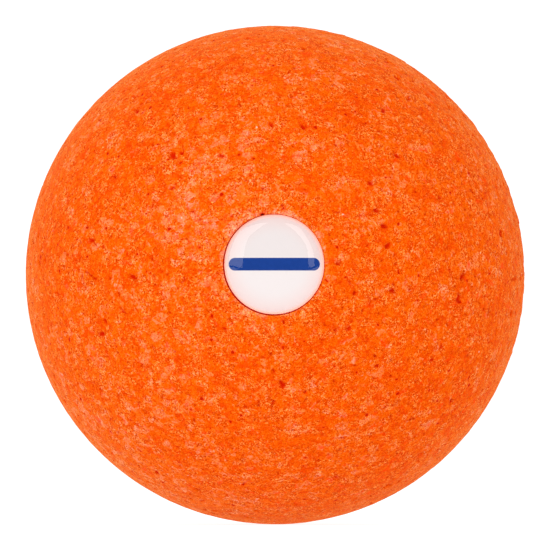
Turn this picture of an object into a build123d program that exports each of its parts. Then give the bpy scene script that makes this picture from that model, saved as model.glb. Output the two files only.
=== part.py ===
from build123d import *
from math import asin, cos, degrees, radians, sin
import os

# A massage ball: one solid ball of expanded bead foam with a round badge glued into a shallow
# pocket. The origin is the centre of the ball, +Z is up and the badge faces -Y, so every piece
# is round about the Y axis. All sizes are in millimetres.

# The ball and the badge that sits in it
ball_diameter = 120.0
badge_diameter = 23.0
badge_gap = 0.12            # all round, between the badge and the wall of its pocket

# The layers of the badge under its clear dome
label_thickness = 0.15
base_thickness = 1.20
tape_thickness = 0.40
resin_margin = 0.05         # bare edge of the base around the label and the dome
base_chamfer = 0.30
tape_margin = 1.50          # bare ring of the base's back around the tape

# The dome's profile is the shape that a puddle of resin sets in, three arcs that run into each
# other: a gently curved crown, a round shoulder and a tight edge that ends square to the label.
crown_curve = 60.0
shoulder_curve = 6.0
edge_curve = 0.40
shoulder_end_slope = 38.0   # degrees

# The pocket's edges, as they leave the mould
pocket_lip_radius = 0.30
pocket_corner_radius = 0.30

ball_radius = ball_diameter / 2
badge_radius = badge_diameter / 2
pocket_radius = badge_radius + badge_gap
resin_radius = badge_radius - resin_margin

# How far the crown turns so that the three arcs end at the dome's radius, and what they drop
steepest = sin(radians(shoulder_end_slope))
crown_reach = resin_radius - shoulder_curve * steepest - edge_curve * (1 - steepest)
crown_end_slope = degrees(asin(crown_reach / (crown_curve - shoulder_curve)))
crown_drop = crown_curve * (1 - cos(radians(crown_end_slope)))
shoulder_drop = shoulder_curve * (cos(radians(crown_end_slope)) - cos(radians(shoulder_end_slope)))
edge_drop = edge_curve * cos(radians(shoulder_end_slope))
dome_height = crown_drop + shoulder_drop + edge_drop

# Distances from the ball's centre along the badge's axis. The crown of the dome is flush with
# the round of the ball, so that the badge doesn't press on the skin.
label_face = ball_radius - dome_height
base_face = label_face - label_thickness
tape_face = base_face - base_thickness
pocket_floor = tape_face - tape_thickness

# Plane.XZ faces -Y, so its positive offsets step out towards the face of the badge.
outward = Plane.XZ

os.makedirs("parts", exist_ok=True)

# The ball, moulded whole, with the blind round pocket in its front
with BuildPart() as foam_ball:
    Sphere(ball_radius)
    with BuildSketch(outward.offset(pocket_floor)):
        Circle(pocket_radius)
    extrude(amount=ball_radius - pocket_floor, mode=Mode.SUBTRACT)
    pocket_edges = foam_ball.edges().filter_by(GeomType.CIRCLE)
    pocket_edges = pocket_edges.filter_by(lambda edge: abs(edge.radius - pocket_radius) < 0.01)
    pocket_lip = pocket_edges.sort_by(Axis.Y)[0]
    pocket_corner = pocket_edges.sort_by(Axis.Y)[-1]
    fillet(pocket_lip, radius=pocket_lip_radius)
    fillet(pocket_corner, radius=pocket_corner_radius)
foam_ball.part.label = "foam_ball"
export_step(foam_ball.part, "parts/foam_ball.step")

# The double-sided tape that holds the badge on the floor of the pocket
with BuildPart() as badge_tape:
    with BuildSketch(outward.offset(pocket_floor)):
        Circle(badge_radius - tape_margin)
    extrude(amount=tape_thickness)
badge_tape.part.label = "badge_tape"
export_step(badge_tape.part, "parts/badge_tape.step")

# The moulded disc that carries the label, chamfered at the back so that it drops in easily
with BuildPart() as badge_base:
    with BuildSketch(outward.offset(tape_face)):
        Circle(badge_radius)
    extrude(amount=base_thickness)
    chamfer(badge_base.edges().sort_by(Axis.Y)[-1], length=base_chamfer)
badge_base.part.label = "badge_base"
export_step(badge_base.part, "parts/badge_base.step")

# The printed film
with BuildPart() as badge_label:
    with BuildSketch(outward.offset(base_face)):
        Circle(resin_radius)
    extrude(amount=label_thickness)
badge_label.part.label = "badge_label"
export_step(badge_label.part, "parts/badge_label.step")

# The clear resin dome. Half of its section is drawn in the XY plane and turned about the Y axis.
with BuildPart() as badge_dome:
    with BuildSketch(Plane.XY):
        with BuildLine():
            crown = JernArc((0, -ball_radius), (1, 0), crown_curve, crown_end_slope)
            shoulder_turn = shoulder_end_slope - crown_end_slope
            shoulder = JernArc(crown @ 1, crown % 1, shoulder_curve, shoulder_turn)
            edge = JernArc(shoulder @ 1, shoulder % 1, edge_curve, 90 - shoulder_end_slope)
            Polyline(edge @ 1, (0, -label_face), (0, -ball_radius))
        make_face()
    revolve(axis=Axis.Y)
badge_dome.part.label = "badge_dome"
export_step(badge_dome.part, "parts/badge_dome.step")
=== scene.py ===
from math import cos, pi, radians, sin, sqrt, tan, tau

import bpy
import numpy as np
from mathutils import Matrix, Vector, kdtree, noise


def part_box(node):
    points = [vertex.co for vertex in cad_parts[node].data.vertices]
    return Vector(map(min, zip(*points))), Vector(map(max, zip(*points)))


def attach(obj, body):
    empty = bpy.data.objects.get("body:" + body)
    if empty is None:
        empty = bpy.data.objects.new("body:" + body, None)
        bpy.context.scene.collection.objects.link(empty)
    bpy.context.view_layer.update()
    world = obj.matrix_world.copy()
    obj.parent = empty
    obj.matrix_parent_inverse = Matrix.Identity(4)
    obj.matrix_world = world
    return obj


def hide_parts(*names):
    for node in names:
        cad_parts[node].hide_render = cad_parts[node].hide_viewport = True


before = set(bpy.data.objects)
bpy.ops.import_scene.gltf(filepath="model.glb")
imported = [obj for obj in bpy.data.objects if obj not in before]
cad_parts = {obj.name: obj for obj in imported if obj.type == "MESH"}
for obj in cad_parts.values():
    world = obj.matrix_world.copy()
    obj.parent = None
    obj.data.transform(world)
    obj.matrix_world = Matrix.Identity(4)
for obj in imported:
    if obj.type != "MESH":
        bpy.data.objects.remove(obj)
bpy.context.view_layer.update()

# A massage ball of moulded bead foam with a round domed badge in its front. The mesh code works in
# millimetres in the row's frame and scales to metres at the end. The badge's axis is -Y.
MM = 0.001
SEED = 20
BODY = "root"

ball_low, ball_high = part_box("foam_ball")
tape_low, tape_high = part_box("badge_tape")
base_low, base_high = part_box("badge_base")
label_low, label_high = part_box("badge_label")
dome_low, dome_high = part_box("badge_dome")

BALL_RADIUS = (ball_high.z - ball_low.z) / 2 / MM
BADGE_RADIUS = (base_high.z - base_low.z) / 2 / MM
RESIN_RADIUS = (dome_high.z - dome_low.z) / 2 / MM
# Wider than the gap in CAD, so that the dark line round the badge shows
POCKET_GAP = 0.18
POCKET_RADIUS = BADGE_RADIUS + POCKET_GAP
# Distances out along the badge's axis
POCKET_FLOOR = -tape_high.y / MM
BASE_BACK = -base_high.y / MM
BASE_FACE = -base_low.y / MM
LABEL_FACE = -label_low.y / MM
CROWN = -dome_low.y / MM


def smooth(t):
    """The smooth step from 0 to 1 of t, an array or a number."""
    t = np.clip(t, 0.0, 1.0)
    return t * t * (3.0 - 2.0 * t)


def new_piece(name, points, faces, values=None):
    """A smooth-shaded mesh object from points in millimetres, with named values on its points."""
    mesh = bpy.data.meshes.new(name)
    mesh.from_pydata((np.asarray(points) * MM).tolist(), [], faces)
    mesh.polygons.foreach_set("use_smooth", [True] * len(mesh.polygons))
    for key, amounts in (values or {}).items():
        layer = mesh.attributes.new(key, "FLOAT", "POINT")
        layer.data.foreach_set("value", np.asarray(amounts, np.float32))
    mesh.update()
    piece = bpy.data.objects.new(name, mesh)
    bpy.context.scene.collection.objects.link(piece)
    return piece


def around(radius, out, angle):
    """The point at that radius and angle about the badge's axis and that distance out along it. The
    angle runs clockwise as seen from the front, so that the faces built from it face outwards."""
    return (radius * cos(angle), -out, -radius * sin(angle))


# ------------------------------------------------------------------------ the foam ball's mesh

SPACING = 0.50              # between neighbouring points
POCKET_SPACING = 0.25       # the same round the pocket
POCKET_SKIN = 2.5           # width of that ring of skin
LIP_ROUND = 0.18            # rounding of the pocket's mouth
CORNER_ROUND = 0.30         # rounding at the pocket's floor
LIP_STEPS = 4


def foam_profile():
    """The ball's profile from the middle of the pocket's floor to the ball's back: radius, distance
    out along the axis, the share of the bead relief that the surface takes there, and the spacing
    of the points."""
    fine = POCKET_SPACING
    profile = [(share * POCKET_RADIUS, POCKET_FLOOR, 0.0, SPACING) for share in (0.0, 0.35, 0.7, 0.9)]
    for step in range(LIP_STEPS):
        turn = pi / 2 * step / (LIP_STEPS - 1)
        radius = POCKET_RADIUS - CORNER_ROUND * (1 - sin(turn))
        profile.append((radius, POCKET_FLOOR + CORNER_ROUND * (1 - cos(turn)), 0.0, fine))
    lip_radius = POCKET_RADIUS + LIP_ROUND
    lip_out = sqrt((BALL_RADIUS - LIP_ROUND) ** 2 - lip_radius ** 2)
    wall_start = POCKET_FLOOR + CORNER_ROUND
    wall_steps = int((lip_out - wall_start) / SPACING)
    for step in range(1, wall_steps):
        out = wall_start + (lip_out - wall_start) * step / wall_steps
        profile.append((POCKET_RADIUS, out, 0.0, fine))
    lip_tilt = np.arctan2(lip_radius, lip_out)
    for step in range(LIP_STEPS):
        share = step / LIP_STEPS
        turn = pi - (pi / 2 + lip_tilt) * share
        radius = lip_radius + LIP_ROUND * cos(turn)
        profile.append((radius, lip_out + LIP_ROUND * sin(turn), 0.25 * share, fine))
    tilt = lip_tilt
    while tilt < pi - 0.5 * SPACING / BALL_RADIUS:
        from_lip = (tilt - lip_tilt) * BALL_RADIUS
        relief = 0.25 + 0.75 * float(smooth(from_lip / 1.5))
        spacing = fine if from_lip < POCKET_SKIN else SPACING
        profile.append((BALL_RADIUS * sin(tilt), BALL_RADIUS * cos(tilt), relief, spacing))
        tilt += spacing / BALL_RADIUS
    return profile + [(0.0, -BALL_RADIUS, 1.0, SPACING)]


def ring_faces(start, count, next_start, next_count):
    """Triangles between two rings of points about the axis, which may differ in their counts."""
    faces = []
    here = there = 0
    while here < count or there < next_count:
        a = start + here % count
        b = next_start + there % next_count
        if there >= next_count or (here < count and (here + 1) * next_count <= (there + 1) * count):
            faces.append((a, start + (here + 1) % count, b))
            here += 1
        else:
            faces.append((a, next_start + (there + 1) % next_count, b))
            there += 1
    return faces


def foam_mesh():
    """The smooth ball with its pocket: points, triangles and each point's share of the relief."""
    points, faces, shares, rings = [], [], [], []
    for radius, out, share, spacing in foam_profile():
        count = max(1, round(tau * radius / spacing))
        rings.append((len(points), count))
        for index in range(count):
            points.append(around(radius, out, tau * index / count))
            shares.append(share)
    for (start, count), (next_start, next_count) in zip(rings, rings[1:]):
        if count == 1:
            faces += [(start, next_start + (i + 1) % next_count, next_start + i)
                      for i in range(next_count)]
        elif next_count == 1:
            faces += [(start + i, start + (i + 1) % count, next_start) for i in range(count)]
        else:
            faces += ring_faces(start, count, next_start, next_count)
    return np.array(points), faces, np.array(shares)


# ----------------------------------------------------------------------- the relief of the beads

BEAD_WIDTH = 3.1            # mean width of a bead as moulded
BEAD_WANDER = 0.45          # share of that width that a bead's centre strays from an even spread
BEAD_UNEVEN = 0.45          # how far a larger bead pushes its border out
SEAM_WIDTH = 0.45           # of the groove between two beads
SEAM_DEPTH = 0.10
PIT_WIDTH = 0.80            # of the hole where three beads don't quite meet
PIT_DEPTH = 0.55
PIT_SHARE = 0.36            # of such corners that have one
VOID_COUNT = 110            # larger holes, where a bead is short or torn
VOID_WIDTHS = (0.30, 0.70)
VOID_STRETCH = 2.2          # the longest are that many times as long as wide
VOID_DEPTH = 1.1
BUMPY_SIDE = Vector((1.0, 0.15, 0.62)).normalized()     # where the beads stand proudest
# Two areas of skin painted paler as light: a painted highlight beside the badge, where the key light
# shines, and painted light from below at the lower left.
PAINTED_SHINE_SIDE = Vector((-0.25, -0.95, 0.17)).normalized()
PAINTED_SHINE_REACH = 18.0
PAINTED_SHINE_AMOUNT = 0.65
PAINTED_LOW_LIGHT_SIDE = Vector((-0.60, -0.35, -0.72)).normalized()
PAINTED_LOW_LIGHT_REACH = 38.0
PAINTED_LOW_LIGHT_AMOUNT = 0.40
# A paler ring of skin just outside the pocket's lip
LIP_RING_OFFSET = 0.35
LIP_RING_WIDTH = 0.45
POCKET_SHIFT = (-0.105, -0.120)     # along X and Z; makes the line widest at the lower left
NICK_ANGLE = radians(103)           # a small chip in the pocket's lip, above the badge, painted near black as shade
NICK_LENGTH = 1.3
NICK_WIDTH = 0.50
NICK_DEPTH = 0.5


def bead_centres(rng):
    """Points spread over the ball about a bead's width apart, with an uneven jitter."""
    count = int(4 * pi * BALL_RADIUS ** 2 / (0.866 * BEAD_WIDTH ** 2))
    index = np.arange(count) + 0.5
    height = 1 - 2 * index / count
    angle = index * pi * (1 + sqrt(5))
    flat = np.sqrt(1 - height ** 2)
    centres = np.column_stack((flat * np.cos(angle), flat * np.sin(angle), height)) * BALL_RADIUS
    centres += rng.normal(0, BEAD_WANDER * BEAD_WIDTH / 2, centres.shape)
    return centres / np.linalg.norm(centres, axis=1, keepdims=True) * BALL_RADIUS


def nearest(points, targets, count):
    """For each point, the indices of its nearest targets and their distances."""
    tree = kdtree.KDTree(len(targets))
    for index, target in enumerate(targets):
        tree.insert(target, index)
    tree.balance()
    found = [tree.find_n(point, count) for point in points]
    order = np.array([[hit[1] for hit in hits] for hits in found])
    distance = np.array([[hit[2] for hit in hits] for hits in found])
    return order, distance


def field(points, size, octaves=3, offset=0.0):
    """Fractal noise about 0 on the points, with features of that size."""
    shift = Vector((offset, 1.7 * offset, -0.6 * offset))
    return np.array([noise.fractal(Vector(p) / size + shift, 0.8, 2.0, octaves) for p in points])


def relief(points, rng):
    """The height of the moulded beads over the smooth ball, with each point's paleness and how
    deep it lies in a pit, from 0 to 1. The paleness holds the beads' own tones and also a painted
    highlight beside the badge and painted light at the lower left; the depth in a pit is painted as
    shade by the material."""
    centres = bead_centres(rng)
    count = len(centres)
    growth = rng.uniform(0, BEAD_UNEVEN, count)
    level = rng.normal(0, 0.011, count)
    tilt = rng.normal(0, 0.010, (count, 3))
    tone = rng.uniform(0, 1, count)
    order, distance = nearest(points, centres, 5)
    distance = distance - growth[order]
    ranks = np.argsort(distance, axis=1)[:, :3]
    order = np.take_along_axis(order, ranks, axis=1)
    distance = np.take_along_axis(distance, ranks, axis=1)
    first, second = order[:, 0], order[:, 1]
    edge = distance[:, 1] - distance[:, 0]
    corner = distance[:, 2] - distance[:, 0]
    # Neighbouring beads run into each other over a narrow border
    mine = 0.5 + 0.5 * smooth(edge / 0.6)
    heights = [level[bead] + np.sum(tilt[bead] * (points - centres[bead]), axis=1)
               for bead in (first, second)]
    height = heights[0] * mine + heights[1] * (1 - mine)
    tone_and_painted_light = 0.4 * (tone[first] * mine + tone[second] * (1 - mine) - 0.5)
    # Paler where light is painted: a painted highlight beside the badge and painted light at the lower
    # left
    from_painted_shine = np.linalg.norm(points - np.array(PAINTED_SHINE_SIDE) * BALL_RADIUS, axis=1)
    from_painted_low_light = np.linalg.norm(points - np.array(PAINTED_LOW_LIGHT_SIDE) * BALL_RADIUS, axis=1)
    tone_and_painted_light += PAINTED_SHINE_AMOUNT * np.exp(-(from_painted_shine / PAINTED_SHINE_REACH) ** 2)
    tone_and_painted_light += PAINTED_LOW_LIGHT_AMOUNT * np.exp(-(from_painted_low_light / PAINTED_LOW_LIGHT_REACH) ** 2)
    bumpy = smooth((points @ np.array(BUMPY_SIDE) / BALL_RADIUS - 0.35) / 0.5)
    height *= 1 + 3.0 * bumpy
    # Grooves differ from one pair of beads to the next, and pits from one corner to the next
    pair_depth = rng.uniform(0.2, 1.0, 4096)[(first * second + first + second) % 4096]
    height -= SEAM_DEPTH * pair_depth * (1 - smooth(edge / SEAM_WIDTH))
    trio = np.sort(order, axis=1)
    chance = rng.uniform(0, 1, 8191)[(trio[:, 0] * 31 + trio[:, 1] * 17 + trio[:, 2] * 7) % 8191]
    pit = (chance < PIT_SHARE) * (0.35 + 0.65 * chance / PIT_SHARE)
    pit = pit * (1 - smooth(corner / PIT_WIDTH))
    height -= PIT_DEPTH * pit
    # Larger holes of uneven outline
    holes = rng.normal(0, 1, (VOID_COUNT, 3))
    holes = holes / np.linalg.norm(holes, axis=1, keepdims=True) * BALL_RADIUS
    width = rng.uniform(*VOID_WIDTHS, VOID_COUNT)
    stretch = rng.uniform(1.0, VOID_STRETCH, VOID_COUNT)
    direction = np.cross(holes, rng.normal(0, 1, (VOID_COUNT, 3)))
    direction /= np.linalg.norm(direction, axis=1, keepdims=True)
    hole = nearest(points, holes, 1)[0][:, 0]
    offset = points - holes[hole]
    along = np.sum(offset * direction[hole], axis=1)
    squeezed = along ** 2 * (1 - 1 / stretch[hole] ** 2)
    away = np.sqrt(np.maximum(np.sum(offset ** 2, axis=1) - squeezed, 0.0))
    ragged = away * (1 + 0.5 * field(points, 0.9, 2, 5.0))
    hollow = 1 - smooth(ragged / width[hole] - 0.35)
    height -= VOID_DEPTH * hollow * width[hole]
    height += 0.02 * field(points, 2.2, 3, 9.0)
    return height, tone_and_painted_light, 0.7 * np.maximum(pit, hollow)


def nick(points):
    """How much of the chip in the pocket's lip each point gets, from 0 to 1."""
    turn = np.arctan2(points[:, 2], points[:, 0]) - NICK_ANGLE
    from_axis = np.hypot(points[:, 0], points[:, 2])
    along = turn * POCKET_RADIUS / (NICK_LENGTH / 2)
    across = (from_axis - POCKET_RADIUS - NICK_WIDTH / 2) / (NICK_WIDTH / 2)
    in_front = points[:, 1] < -POCKET_FLOOR
    return in_front * (1 - smooth((np.hypot(along, across) - 0.7) / 0.5))


def make_foam_ball():
    """The ball with its relief, pocket and chip, and the values that its material reads."""
    rng = np.random.default_rng(SEED)
    points, faces, share = foam_mesh()
    height, tone_and_painted_light, pit = relief(points, rng)
    outward = points / np.linalg.norm(points, axis=1, keepdims=True)
    chip = nick(points)
    points = points + outward * (height * share - NICK_DEPTH * chip)[:, None]
    shift = np.array((POCKET_SHIFT[0], 0.0, POCKET_SHIFT[1]))
    points += shift * (1 - share)[:, None]
    below_lip = sqrt(BALL_RADIUS ** 2 - POCKET_RADIUS ** 2) + points[:, 1]
    in_pocket = (share == 0) * smooth((below_lip - 0.1) / 0.5)
    # The dark value is painted shade: in pits and holes, on the pocket's wall and in the chip
    dark = np.maximum(np.maximum(pit * share, 0.7 * in_pocket), chip)
    from_lip = np.hypot(points[:, 0], points[:, 2]) - POCKET_RADIUS
    tone_and_painted_light += (points[:, 1] < 0) * np.exp(-((from_lip - LIP_RING_OFFSET) / LIP_RING_WIDTH) ** 2)
    values = {"tone_and_painted_light": tone_and_painted_light, "dark": dark, "in_pocket": in_pocket}
    return new_piece("bead_foam_ball", points, faces, values)


# ------------------------------------------------------------------------------ the badge's meshes

BADGE_SEGMENTS = 160


def lathe(name, profile, segments=BADGE_SEGMENTS):
    """A closed piece turned about the badge's axis from (radius, out) points. The first and last
    are on the axis, and the profile runs from the front to the back."""
    points, faces = [], []
    for radius, out in profile[1:-1]:
        points += [around(radius, out, tau * index / segments) for index in range(segments)]
    for ring in range(len(profile) - 3):
        for index in range(segments):
            a = ring * segments + index
            b = ring * segments + (index + 1) % segments
            faces.append((a, b, b + segments, a + segments))
    front = len(points)
    points += [around(0, profile[0][1], 0), around(0, profile[-1][1], 0)]
    last = (len(profile) - 3) * segments
    for index in range(segments):
        after = (index + 1) % segments
        faces.append((front, after, index))
        faces.append((front + 1, last + index, last + after))
    return new_piece(name, points, faces)


def arc(centre, radius, start, end, steps):
    """Points on an arc in (radius, out), by its angle from the outward axis in degrees."""
    turns = [radians(start + (end - start) * step / steps) for step in range(steps + 1)]
    return [(centre[0] + radius * sin(turn), centre[1] + radius * cos(turn)) for turn in turns]


def dome_profile(back):
    """The dome's three arcs: a gently curved crown, a round shoulder and a tight edge."""
    crown_curve, shoulder_curve, edge_curve, steep = 60.0, 6.0, 0.40, 38.0
    reach = RESIN_RADIUS - edge_curve - (shoulder_curve - edge_curve) * sin(radians(steep))
    crown_end = np.degrees(np.arcsin(reach / (crown_curve - shoulder_curve)))
    crown_centre = (0.0, CROWN - crown_curve)
    profile = arc(crown_centre, crown_curve, 0, crown_end, 12)
    turn = radians(crown_end)
    centre = (crown_centre[0] + (crown_curve - shoulder_curve) * sin(turn),
              crown_centre[1] + (crown_curve - shoulder_curve) * cos(turn))
    profile += arc(centre, shoulder_curve, crown_end, steep, 16)[1:]
    turn = radians(steep)
    centre = (centre[0] + (shoulder_curve - edge_curve) * sin(turn),
              centre[1] + (shoulder_curve - edge_curve) * cos(turn))
    profile += arc(centre, edge_curve, steep, 90, 6)[1:]
    return profile + [(RESIN_RADIUS, back), (RESIN_RADIUS * 0.5, back), (0.0, back)]


def disc_profile(radius, face, back, edge):
    """A disc with rounded edges front and back."""
    profile = [(0.0, face), (radius * 0.5, face)]
    profile += arc((radius - edge, face - edge), edge, 0, 90, 4)
    profile += arc((radius - edge, back + edge), edge, 90, 180, 4)
    return profile + [(radius * 0.5, back), (0.0, back)]


# ------------------------------------------------------------------------------------- materials

class Tree:
    """A material's node tree, with short ways to add nodes and join them. A value given to a node is
    a number, a colour, a vector or another node's output."""

    def __init__(self, name):
        self.material = bpy.data.materials.new(name)
        self.material.use_nodes = True
        self.nodes = self.material.node_tree.nodes
        self.links = self.material.node_tree.links
        self.shader = self.nodes["Principled BSDF"]
        self.place = self.add("ShaderNodeTexCoord", {}).outputs["Object"]

    def add(self, kind, inputs, **settings):
        """A node of that kind, with its settings and its inputs by name or number."""
        node = self.nodes.new(kind)
        for key, value in settings.items():
            setattr(node, key, value)
        self.fill(node, inputs)
        return node

    def fill(self, node, inputs):
        for key, value in inputs.items():
            if isinstance(value, bpy.types.NodeSocket):
                self.links.new(value, node.inputs[key])
            else:
                node.inputs[key].default_value = value

    def math(self, operation, a, b=0.0, c=0.0):
        return self.add("ShaderNodeMath", {0: a, 1: b, 2: c}, operation=operation).outputs[0]

    def vector_math(self, operation, a, b=(0.0, 0.0, 0.0), c=(0.0, 0.0, 0.0)):
        node = self.add("ShaderNodeVectorMath", {0: a, 1: b, 2: c}, operation=operation)
        return node.outputs["Value" if operation == "LENGTH" else "Vector"]

    def noise(self, size, detail=2.0, rough=0.5, place=None):
        """Fractal noise about 0.5, with features of that size in millimetres."""
        inputs = {"Vector": place or self.place, "Scale": per_mm(size), "Detail": detail,
                  "Roughness": rough}
        return self.add("ShaderNodeTexNoise", inputs).outputs["Fac"]

    def attribute(self, name):
        return self.add("ShaderNodeAttribute", {}, attribute_name=name).outputs["Fac"]

    def between(self, value, low, high):
        """A smooth step of the value, from 0 at low to 1 at high."""
        inputs = {0: value, 1: low, 2: high, 3: 0.0, 4: 1.0}
        node = self.add("ShaderNodeMapRange", inputs, interpolation_type="SMOOTHSTEP")
        return node.outputs["Result"]

    def ramp(self, factor, stops):
        """A colour ramp from (place, colour) stops."""
        node = self.add("ShaderNodeValToRGB", {0: factor})
        elements = node.color_ramp.elements
        while len(elements) < len(stops):
            elements.new(0.5)
        for element, (place, colour) in zip(elements, stops):
            element.position = place
            element.color = (*colour, 1.0)
        return node.outputs["Color"]

    def mix(self, factor, a, b):
        """Colour a where the factor is 0 and colour b where it is 1."""
        a, b = [(*colour, 1.0) if isinstance(colour, tuple) else colour for colour in (a, b)]
        return self.add("ShaderNodeMix", {0: factor, 6: a, 7: b}, data_type="RGBA").outputs[2]

    def finish(self, **inputs):
        """Join the named values to the shader, with spaces for underscores."""
        self.fill(self.shader, {key.replace("_", " "): value for key, value in inputs.items()})
        return self.material


def per_mm(size):
    """The scale of a texture, over coordinates in metres, whose features have that size in mm."""
    return 1.0 / (size * MM)


# The real ball gives off no light, so both belong at 0 in a scene that is dark or lit another way.
POCKET_GLOW = 0.20
FILM_GLOW = 0.35


def foam_material():
    """Fused beads of orange foam. One tone, built up from mottling, patches, loops and wrinkles, picks
    the skin's colour from deep orange through salmon to cream; it also takes a painted highlight
    beside the badge, painted light at the lower left and painted light and shade along the wrinkles.
    Whitish glints are painted highlights. Holes and the pocket's wall are painted deep red as shade,
    and the chip in the lip near black. The paler rim is the shader's sheen; nothing here is painted by
    the view."""
    tree = Tree("bead_foam")
    warp = tree.add("ShaderNodeTexNoise", {"Vector": tree.place, "Scale": per_mm(1.3), "Detail": 1.0})
    warp = tree.vector_math("SUBTRACT", warp.outputs["Color"], (0.5, 0.5, 0.5))
    bent = tree.vector_math("MULTIPLY_ADD", warp, (0.9 * MM, 0.9 * MM, 0.9 * MM), tree.place)
    # Paleness of the beads, with the painted highlight and painted light in it
    tone_and_painted_light = tree.attribute("tone_and_painted_light")
    mottle = tree.math("SUBTRACT", tree.noise(8.0, 4.0, 0.85), 0.5)
    tone = tree.math("MULTIPLY_ADD", mottle, 0.42, 0.255)
    tone = tree.math("MULTIPLY_ADD", tone_and_painted_light, 0.15, tone)
    paleness = tree.math("MULTIPLY_ADD", mottle, 1.3, 0.36)
    paleness = tree.math("MULTIPLY_ADD", tone_and_painted_light, 0.70, paleness)
    paleness = tree.between(paleness, 0.0, 1.0)
    # Parts of beads that are salmon or deep orange, with broken outlines
    chips = tree.add("ShaderNodeTexVoronoi", {"Vector": bent, "Scale": per_mm(1.9)})
    chances = tree.add("ShaderNodeSeparateColor", {0: chips.outputs["Color"]}).outputs
    broken = tree.math("MULTIPLY_ADD", tree.noise(0.9, 2.0), 1.4, -0.7)
    salmon = tree.math("ADD", chances[0], broken)
    salmon = tree.math("MULTIPLY_ADD", paleness, 0.30, salmon)
    salmon = tree.between(salmon, 0.82, 0.98)
    deep = tree.between(tree.math("ADD", chances[1], broken), 0.72, 0.92)
    tone = tree.math("MULTIPLY_ADD", salmon, 0.21, tone)
    tone = tree.math("MULTIPLY_ADD", deep, -0.15, tone)
    # Light loops, the outlines of cells cut open by the mould
    rounds = tree.add("ShaderNodeTexVoronoi", {"Vector": bent, "Scale": per_mm(2.1)})
    chances = tree.add("ShaderNodeSeparateColor", {0: rounds.outputs["Color"]}).outputs
    radius = tree.math("MULTIPLY_ADD", chances[0], 0.24, 0.16)
    off_loop = tree.math("SUBTRACT", rounds.outputs["Distance"], radius)
    loop = tree.between(tree.math("ABSOLUTE", off_loop), 0.09, 0.03)
    has_loop = tree.between(chances[1], 0.45, 0.60)
    loop = tree.math("MULTIPLY", loop, has_loop)
    inner = tree.math("ABSOLUTE", tree.math("ADD", off_loop, 0.12))
    inner = tree.math("MULTIPLY", tree.between(inner, 0.07, 0.02), has_loop)
    tone = tree.math("MULTIPLY_ADD", loop, 0.17, tone)
    # Painted light and shade along fine wrinkles, a lit line beside a shaded one, and fine cells, both
    # in clusters
    busy = tree.between(tree.noise(3.0, 2.0, 0.6, bent), 0.44, 0.60)
    wrinkle = tree.math("SUBTRACT", tree.noise(1.0, 2.0, 0.6, bent), 0.5)
    lit = tree.math("ABSOLUTE", tree.math("SUBTRACT", wrinkle, 0.045))
    lit = tree.math("MULTIPLY", tree.between(lit, 0.045, 0.005),
                    tree.math("MULTIPLY_ADD", busy, 0.70, 0.30))
    shaded = tree.math("ABSOLUTE", tree.math("ADD", wrinkle, 0.045))
    shaded = tree.math("MULTIPLY", tree.between(shaded, 0.045, 0.005),
                       tree.math("MULTIPLY_ADD", busy, 0.45, 0.50))
    tone = tree.math("MULTIPLY_ADD", lit, 0.20, tone)
    tone = tree.math("MULTIPLY_ADD", shaded, -0.22, tone)
    grain = tree.math("MULTIPLY_ADD", tree.noise(0.45, 1.0, 0.5, bent), 0.7, tree.noise(0.26, 1.0))
    contrast = tree.math("MULTIPLY_ADD", busy, 0.45, 0.25)
    light = tree.math("MULTIPLY", tree.between(grain, 0.87, 1.10), contrast)
    light = tree.math("MULTIPLY_ADD", lit, 0.35, light)
    dark = tree.math("MULTIPLY", tree.between(grain, 0.85, 0.63),
                     tree.math("MULTIPLY_ADD", busy, 0.30, 0.50))
    dark = tree.math("MULTIPLY_ADD", shaded, 0.56, dark)
    colour = tree.ramp(tone, [
        (0.10, (0.770, 0.052, 0.000)),
        (0.25, (0.815, 0.088, 0.000)),
        (0.34, (0.830, 0.110, 0.000)),
        (0.45, (0.840, 0.146, 0.020)),
        (0.62, (0.850, 0.208, 0.095)),
        (0.90, (0.870, 0.330, 0.250)),
    ])
    colour = tree.mix(tree.math("MULTIPLY", light, 0.45), colour, (1.0, 0.40, 0.030))
    colour = tree.mix(tree.math("MULTIPLY", tree.math("MULTIPLY", light, light), 0.35), colour,
                      (1.0, 0.50, 0.230))
    dark = tree.math("MULTIPLY_ADD", inner, 0.35, dark)
    colour = tree.mix(dark, colour, (0.48, 0.034, 0.0))
    # Small whitish glints, painted highlights, more of them where the skin is paler
    painted_glints = tree.add("ShaderNodeTexVoronoi", {"Vector": bent, "Scale": per_mm(4.0)})
    chance = tree.add("ShaderNodeSeparateColor", {0: painted_glints.outputs["Color"]}).outputs[0]
    reach = tree.math("MULTIPLY_ADD", paleness, 0.10, -0.13)
    reach = tree.math("MULTIPLY_ADD", chance, 0.14, reach)
    painted_glint = tree.between(tree.math("SUBTRACT", painted_glints.outputs["Distance"], reach), 0.03, -0.03)
    colour = tree.mix(tree.math("MULTIPLY", painted_glint, 0.8), colour, (0.86, 0.50, 0.38))
    # Stretches of the seams between beads
    seams = tree.add("ShaderNodeTexVoronoi", {"Vector": bent, "Scale": per_mm(BEAD_WIDTH)},
                     feature="DISTANCE_TO_EDGE").outputs["Distance"]
    open_seam = tree.between(tree.noise(2.6, 1.0), 0.50, 0.62)
    seam = tree.math("MULTIPLY", tree.between(seams, 0.060, 0.015), open_seam)
    colour = tree.mix(tree.math("MULTIPLY", seam, 0.6), colour, (0.66, 0.036, 0.0))
    # Redder spots of skin
    flush = tree.between(tree.noise(2.0, 1.0, 0.5, bent), 0.62, 0.74)
    colour = tree.mix(tree.math("MULTIPLY", flush, 0.6), colour, (0.82, 0.036, 0.0))
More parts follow.
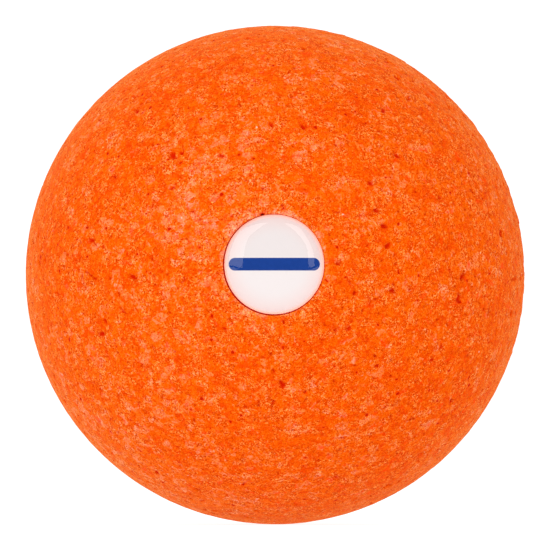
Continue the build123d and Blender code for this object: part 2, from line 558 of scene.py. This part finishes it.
    # Small holes painted dark red as shade, with a red surround, then painted shade in the large ones
    # and on the inside of the pocket
    spots = tree.add("ShaderNodeTexVoronoi", {"Vector": bent, "Scale": per_mm(2.4)})
    chance = tree.add("ShaderNodeSeparateColor", {0: spots.outputs["Color"]}).outputs[0]
    reach = tree.math("MULTIPLY_ADD", chance, 0.36, -0.20)
    reach = tree.math("MULTIPLY_ADD", broken, 0.30, reach)
    from_hole = tree.math("SUBTRACT", spots.outputs["Distance"], reach)
    hole = tree.between(from_hole, 0.04, -0.04)
    surround = tree.math("MULTIPLY", tree.between(from_hole, 0.20, 0.02), 0.55)
    surround = tree.math("MULTIPLY", surround, tree.between(chance, 0.46, 0.70))
    colour = tree.mix(surround, colour, (0.80, 0.046, 0.0))
    colour = tree.mix(tree.math("MULTIPLY", hole, 0.95), colour, (0.50, 0.006, 0.0))
    # Painted shade from the dark value: deep red in pits, holes and the pocket's wall, near black in
    # the chip
    hollow = tree.attribute("dark")
    colour = tree.mix(tree.between(hollow, 0.0, 0.7), colour, (0.60, 0.012, 0.0))
    colour = tree.mix(tree.between(hollow, 0.7, 1.0), colour, (0.06, 0.003, 0.002))
    height = tree.math("MULTIPLY_ADD", hole, -1.5, grain)
    bump = tree.add("ShaderNodeBump", {"Strength": 0.7, "Distance": 0.10 * MM, "Height": height})
    # Stands in for the light that soaks through the foam into the gap round the badge
    soaked = tree.math("MULTIPLY", tree.attribute("in_pocket"), POCKET_GLOW)
    return tree.finish(Base_Color=colour, Normal=bump.outputs[0], Roughness=0.5,
                       Specular_IOR_Level=0.0, Sheen_Weight=0.33, Sheen_Roughness=0.31,
                       Sheen_Tint=(1.0, 0.60, 0.22, 1.0),
                       Emission_Color=(1.0, 0.035, 0.006, 1.0),
                       Emission_Strength=soaked)


def plastic_material(name, colour, rough, speck):
    """Moulded plastic or tape with a faint cloudiness and a fine uneven surface."""
    tree = Tree(name)
    darker = tuple(0.93 * part for part in colour)
    shade = tree.mix(tree.noise(4.0, 3.0), darker, colour)
    bump = tree.add("ShaderNodeBump", {"Strength": speck, "Distance": 0.03 * MM,
                                       "Height": tree.noise(0.25)})
    return tree.finish(Base_Color=shade, Normal=bump.outputs[0], Roughness=rough)


BAND_LENGTH = 20.6
BAND_WIDTH = 2.9
BAND_BLUE = (0.012, 0.048, 0.25)
FILM_WHITE = (0.678, 0.624, 0.619)
FILM_PAINTED_ORANGE = (0.70, 0.56, 0.54)    # further out, a painted reflection of the ball's orange in the resin
FILM_EDGE_PAINTED_GLOW = (0.98, 0.51, 0.40)       # and brighter right at its edge, painted light


def label_material():
    """White film printed with one plain round-ended blue band across its middle. Towards its edge it
    is painted orange and made to glow, painted light for the ball's orange seen in the resin.
    """
    tree = Tree("label_film")
    part = tree.add("ShaderNodeSeparateXYZ", {0: tree.place})
    across, up = part.outputs["X"], part.outputs["Z"]
    along = tree.math("SUBTRACT", tree.math("ABSOLUTE", across), (BAND_LENGTH - BAND_WIDTH) / 2 * MM)
    flat = tree.add("ShaderNodeCombineXYZ", {0: tree.math("MAXIMUM", along, 0.0), 1: up})
    from_band = tree.vector_math("LENGTH", flat.outputs[0])
    from_band = tree.math("SUBTRACT", from_band, BAND_WIDTH / 2 * MM)
    ink = tree.between(from_band, 0.05 * MM, -0.05 * MM)
    centred = tree.add("ShaderNodeCombineXYZ", {0: across, 1: up})
    from_middle = tree.vector_math("LENGTH", centred.outputs[0])
    # Painted reflection: the film turns orange towards its edge, and more so right at it
    painted_orange = tree.between(from_middle, 0.55 * RESIN_RADIUS * MM, 1.02 * RESIN_RADIUS * MM)
    fine = tree.noise(0.8, 3.0)
    blue = tree.mix(fine, tuple(0.8 * part for part in BAND_BLUE), BAND_BLUE)
    paper = tree.mix(fine, tuple(0.98 * part for part in FILM_WHITE), FILM_WHITE)
    paper = tree.mix(painted_orange, paper, FILM_PAINTED_ORANGE)
    rim = tree.between(from_middle, 0.91 * RESIN_RADIUS * MM, 1.01 * RESIN_RADIUS * MM)
    paper = tree.mix(rim, paper, FILM_EDGE_PAINTED_GLOW)
    # Stands in for the light that the resin carries to the film's edge
    return tree.finish(Base_Color=tree.mix(ink, paper, blue), Roughness=0.45,
                       Specular_IOR_Level=0.0, Emission_Color=(1.0, 0.28, 0.17, 1.0),
                       Emission_Strength=tree.math("MULTIPLY", rim, FILM_GLOW))


def resin_material():
    """Clear cast resin, very slightly wavy and not quite polished."""
    tree = Tree("clear_resin")
    bump = tree.add("ShaderNodeBump", {"Strength": 0.15, "Distance": 0.05 * MM,
                                       "Height": tree.noise(5.0, 1.0)})
    return tree.finish(Base_Color=(0.98, 0.975, 0.97, 1.0), Normal=bump.outputs[0], Roughness=0.03,
                       IOR=1.55, Specular_IOR_Level=0.9, Transmission_Weight=1.0)


def dress(piece, material):
    """Give the piece that material alone."""
    piece.data.materials.clear()
    piece.data.materials.append(material)


# ---------------------------------------------------------------------------------- the pieces

white_plastic = plastic_material("white_plastic", (0.80, 0.78, 0.76), 0.35, 0.1)
tape_finish = plastic_material("tape", (0.72, 0.70, 0.64), 0.7, 0.4)

foam_ball = make_foam_ball()
dress(foam_ball, foam_material())
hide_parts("foam_ball")
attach(foam_ball, BODY)

badge_disc = lathe("badge_disc", disc_profile(BADGE_RADIUS, BASE_FACE, BASE_BACK, 0.12))
dress(badge_disc, white_plastic)
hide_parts("badge_base")
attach(badge_disc, BODY)

label_film = lathe("label_film", disc_profile(RESIN_RADIUS, LABEL_FACE, BASE_FACE, 0.03))
dress(label_film, label_material())
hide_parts("badge_label")
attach(label_film, BODY)

resin_dome = lathe("resin_dome", dome_profile(LABEL_FACE - 0.02))
dress(resin_dome, resin_material())
resin_dome.visible_shadow = False
resin_dome.visible_diffuse = False
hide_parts("badge_dome")
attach(resin_dome, BODY)

badge_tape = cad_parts["badge_tape"]
dress(badge_tape, tape_finish)


# ----------------------------------------------------------------------------- stage and lights

FLOOR_SIZE = 30.0           # in metres
FLOOR_GLOW = 0.88           # the floor gives off light, as a light table does


def make_floor(height):
    """A plain white floor at that height in metres."""
    mesh = bpy.data.meshes.new("floor")
    half = FLOOR_SIZE / 2
    corners = [(-half, -half, height), (half, -half, height), (half, half, height),
               (-half, half, height)]
    mesh.from_pydata(corners, [], [(0, 1, 2, 3)])
    floor = bpy.data.objects.new("floor", mesh)
    bpy.context.scene.collection.objects.link(floor)
    tree = Tree("floor_white")
    tree.finish(Base_Color=(0.30, 0.30, 0.30, 1.0), Emission_Color=(1.0, 1.0, 1.0, 1.0),
                Emission_Strength=FLOOR_GLOW, Roughness=0.9, Specular_IOR_Level=0.0)
    mesh.materials.append(tree.material)


def softbox(name, azimuth, elevation, width, height, radiance, distance=1.5):
    """An area light aimed at the ball, given as the camera sees it from there: the direction of its
    middle and its width and height, all in degrees."""
    light = bpy.data.lights.new(name, "AREA")
    light.shape = "RECTANGLE"
    light.size = 2 * distance * tan(radians(width / 2))
    light.size_y = 2 * distance * tan(radians(height / 2))
    light.energy = radiance * pi * light.size * light.size_y
    lamp = bpy.data.objects.new(name, light)
    turn, rise = radians(azimuth), radians(elevation)
    toward = Vector((sin(turn) * cos(rise), -cos(turn) * cos(rise), sin(rise)))
    lamp.location = toward * distance
    lamp.rotation_euler = toward.to_track_quat("Z", "Y").to_euler()
    bpy.context.scene.collection.objects.link(lamp)


def make_world(front, back):
    """A white surround, brighter behind the ball, that lights it and shows behind it but leaves no
    reflection."""
    world = bpy.data.worlds.new("studio")
    world.use_nodes = True
    tree = world.node_tree
    place = tree.nodes.new("ShaderNodeTexCoord")
    part = tree.nodes.new("ShaderNodeSeparateXYZ")
    shade = tree.nodes.new("ShaderNodeMapRange")
    shade.inputs["From Min"].default_value = -0.3
    shade.inputs["From Max"].default_value = 0.3
    shade.inputs["To Min"].default_value = front
    shade.inputs["To Max"].default_value = back
    tree.links.new(place.outputs["Generated"], part.inputs[0])
    tree.links.new(part.outputs["Y"], shade.inputs["Value"])
    background = tree.nodes["Background"]
    background.inputs["Color"].default_value = (1.0, 1.0, 1.0, 1.0)
    tree.links.new(shade.outputs["Result"], background.inputs["Strength"])
    bpy.context.scene.world = world
    world.cycles_visibility.glossy = False


def make_camera(distance, azimuth, elevation, outline):
    """A camera aimed at the ball, whose outline fills that share of the frame's width."""
    data = bpy.data.cameras.new("camera")
    half_angle_tangent = BALL_RADIUS * MM / sqrt(distance ** 2 - (BALL_RADIUS * MM) ** 2)
    data.sensor_width = 36.0
    data.lens = data.sensor_width / 2 * outline / half_angle_tangent
    camera = bpy.data.objects.new("camera", data)
    turn, rise = radians(azimuth), radians(elevation)
    back = Vector((sin(turn) * cos(rise), -cos(turn) * cos(rise), sin(rise)))
    camera.location = back * distance
    camera.rotation_euler = back.to_track_quat("Z", "Y").to_euler()
    bpy.context.scene.collection.objects.link(camera)
    bpy.context.scene.camera = camera


make_floor(ball_low.z)
make_world(front=1.0, back=1.15)
softbox("key_light", azimuth=-34, elevation=23, width=42, height=44, radiance=1.6)
softbox("side_light", azimuth=23, elevation=22, width=17, height=42, radiance=1.6)
make_camera(distance=1.2, azimuth=0.16, elevation=-2.43, outline=0.9065)
bpy.context.scene.view_settings.view_transform = "Standard"
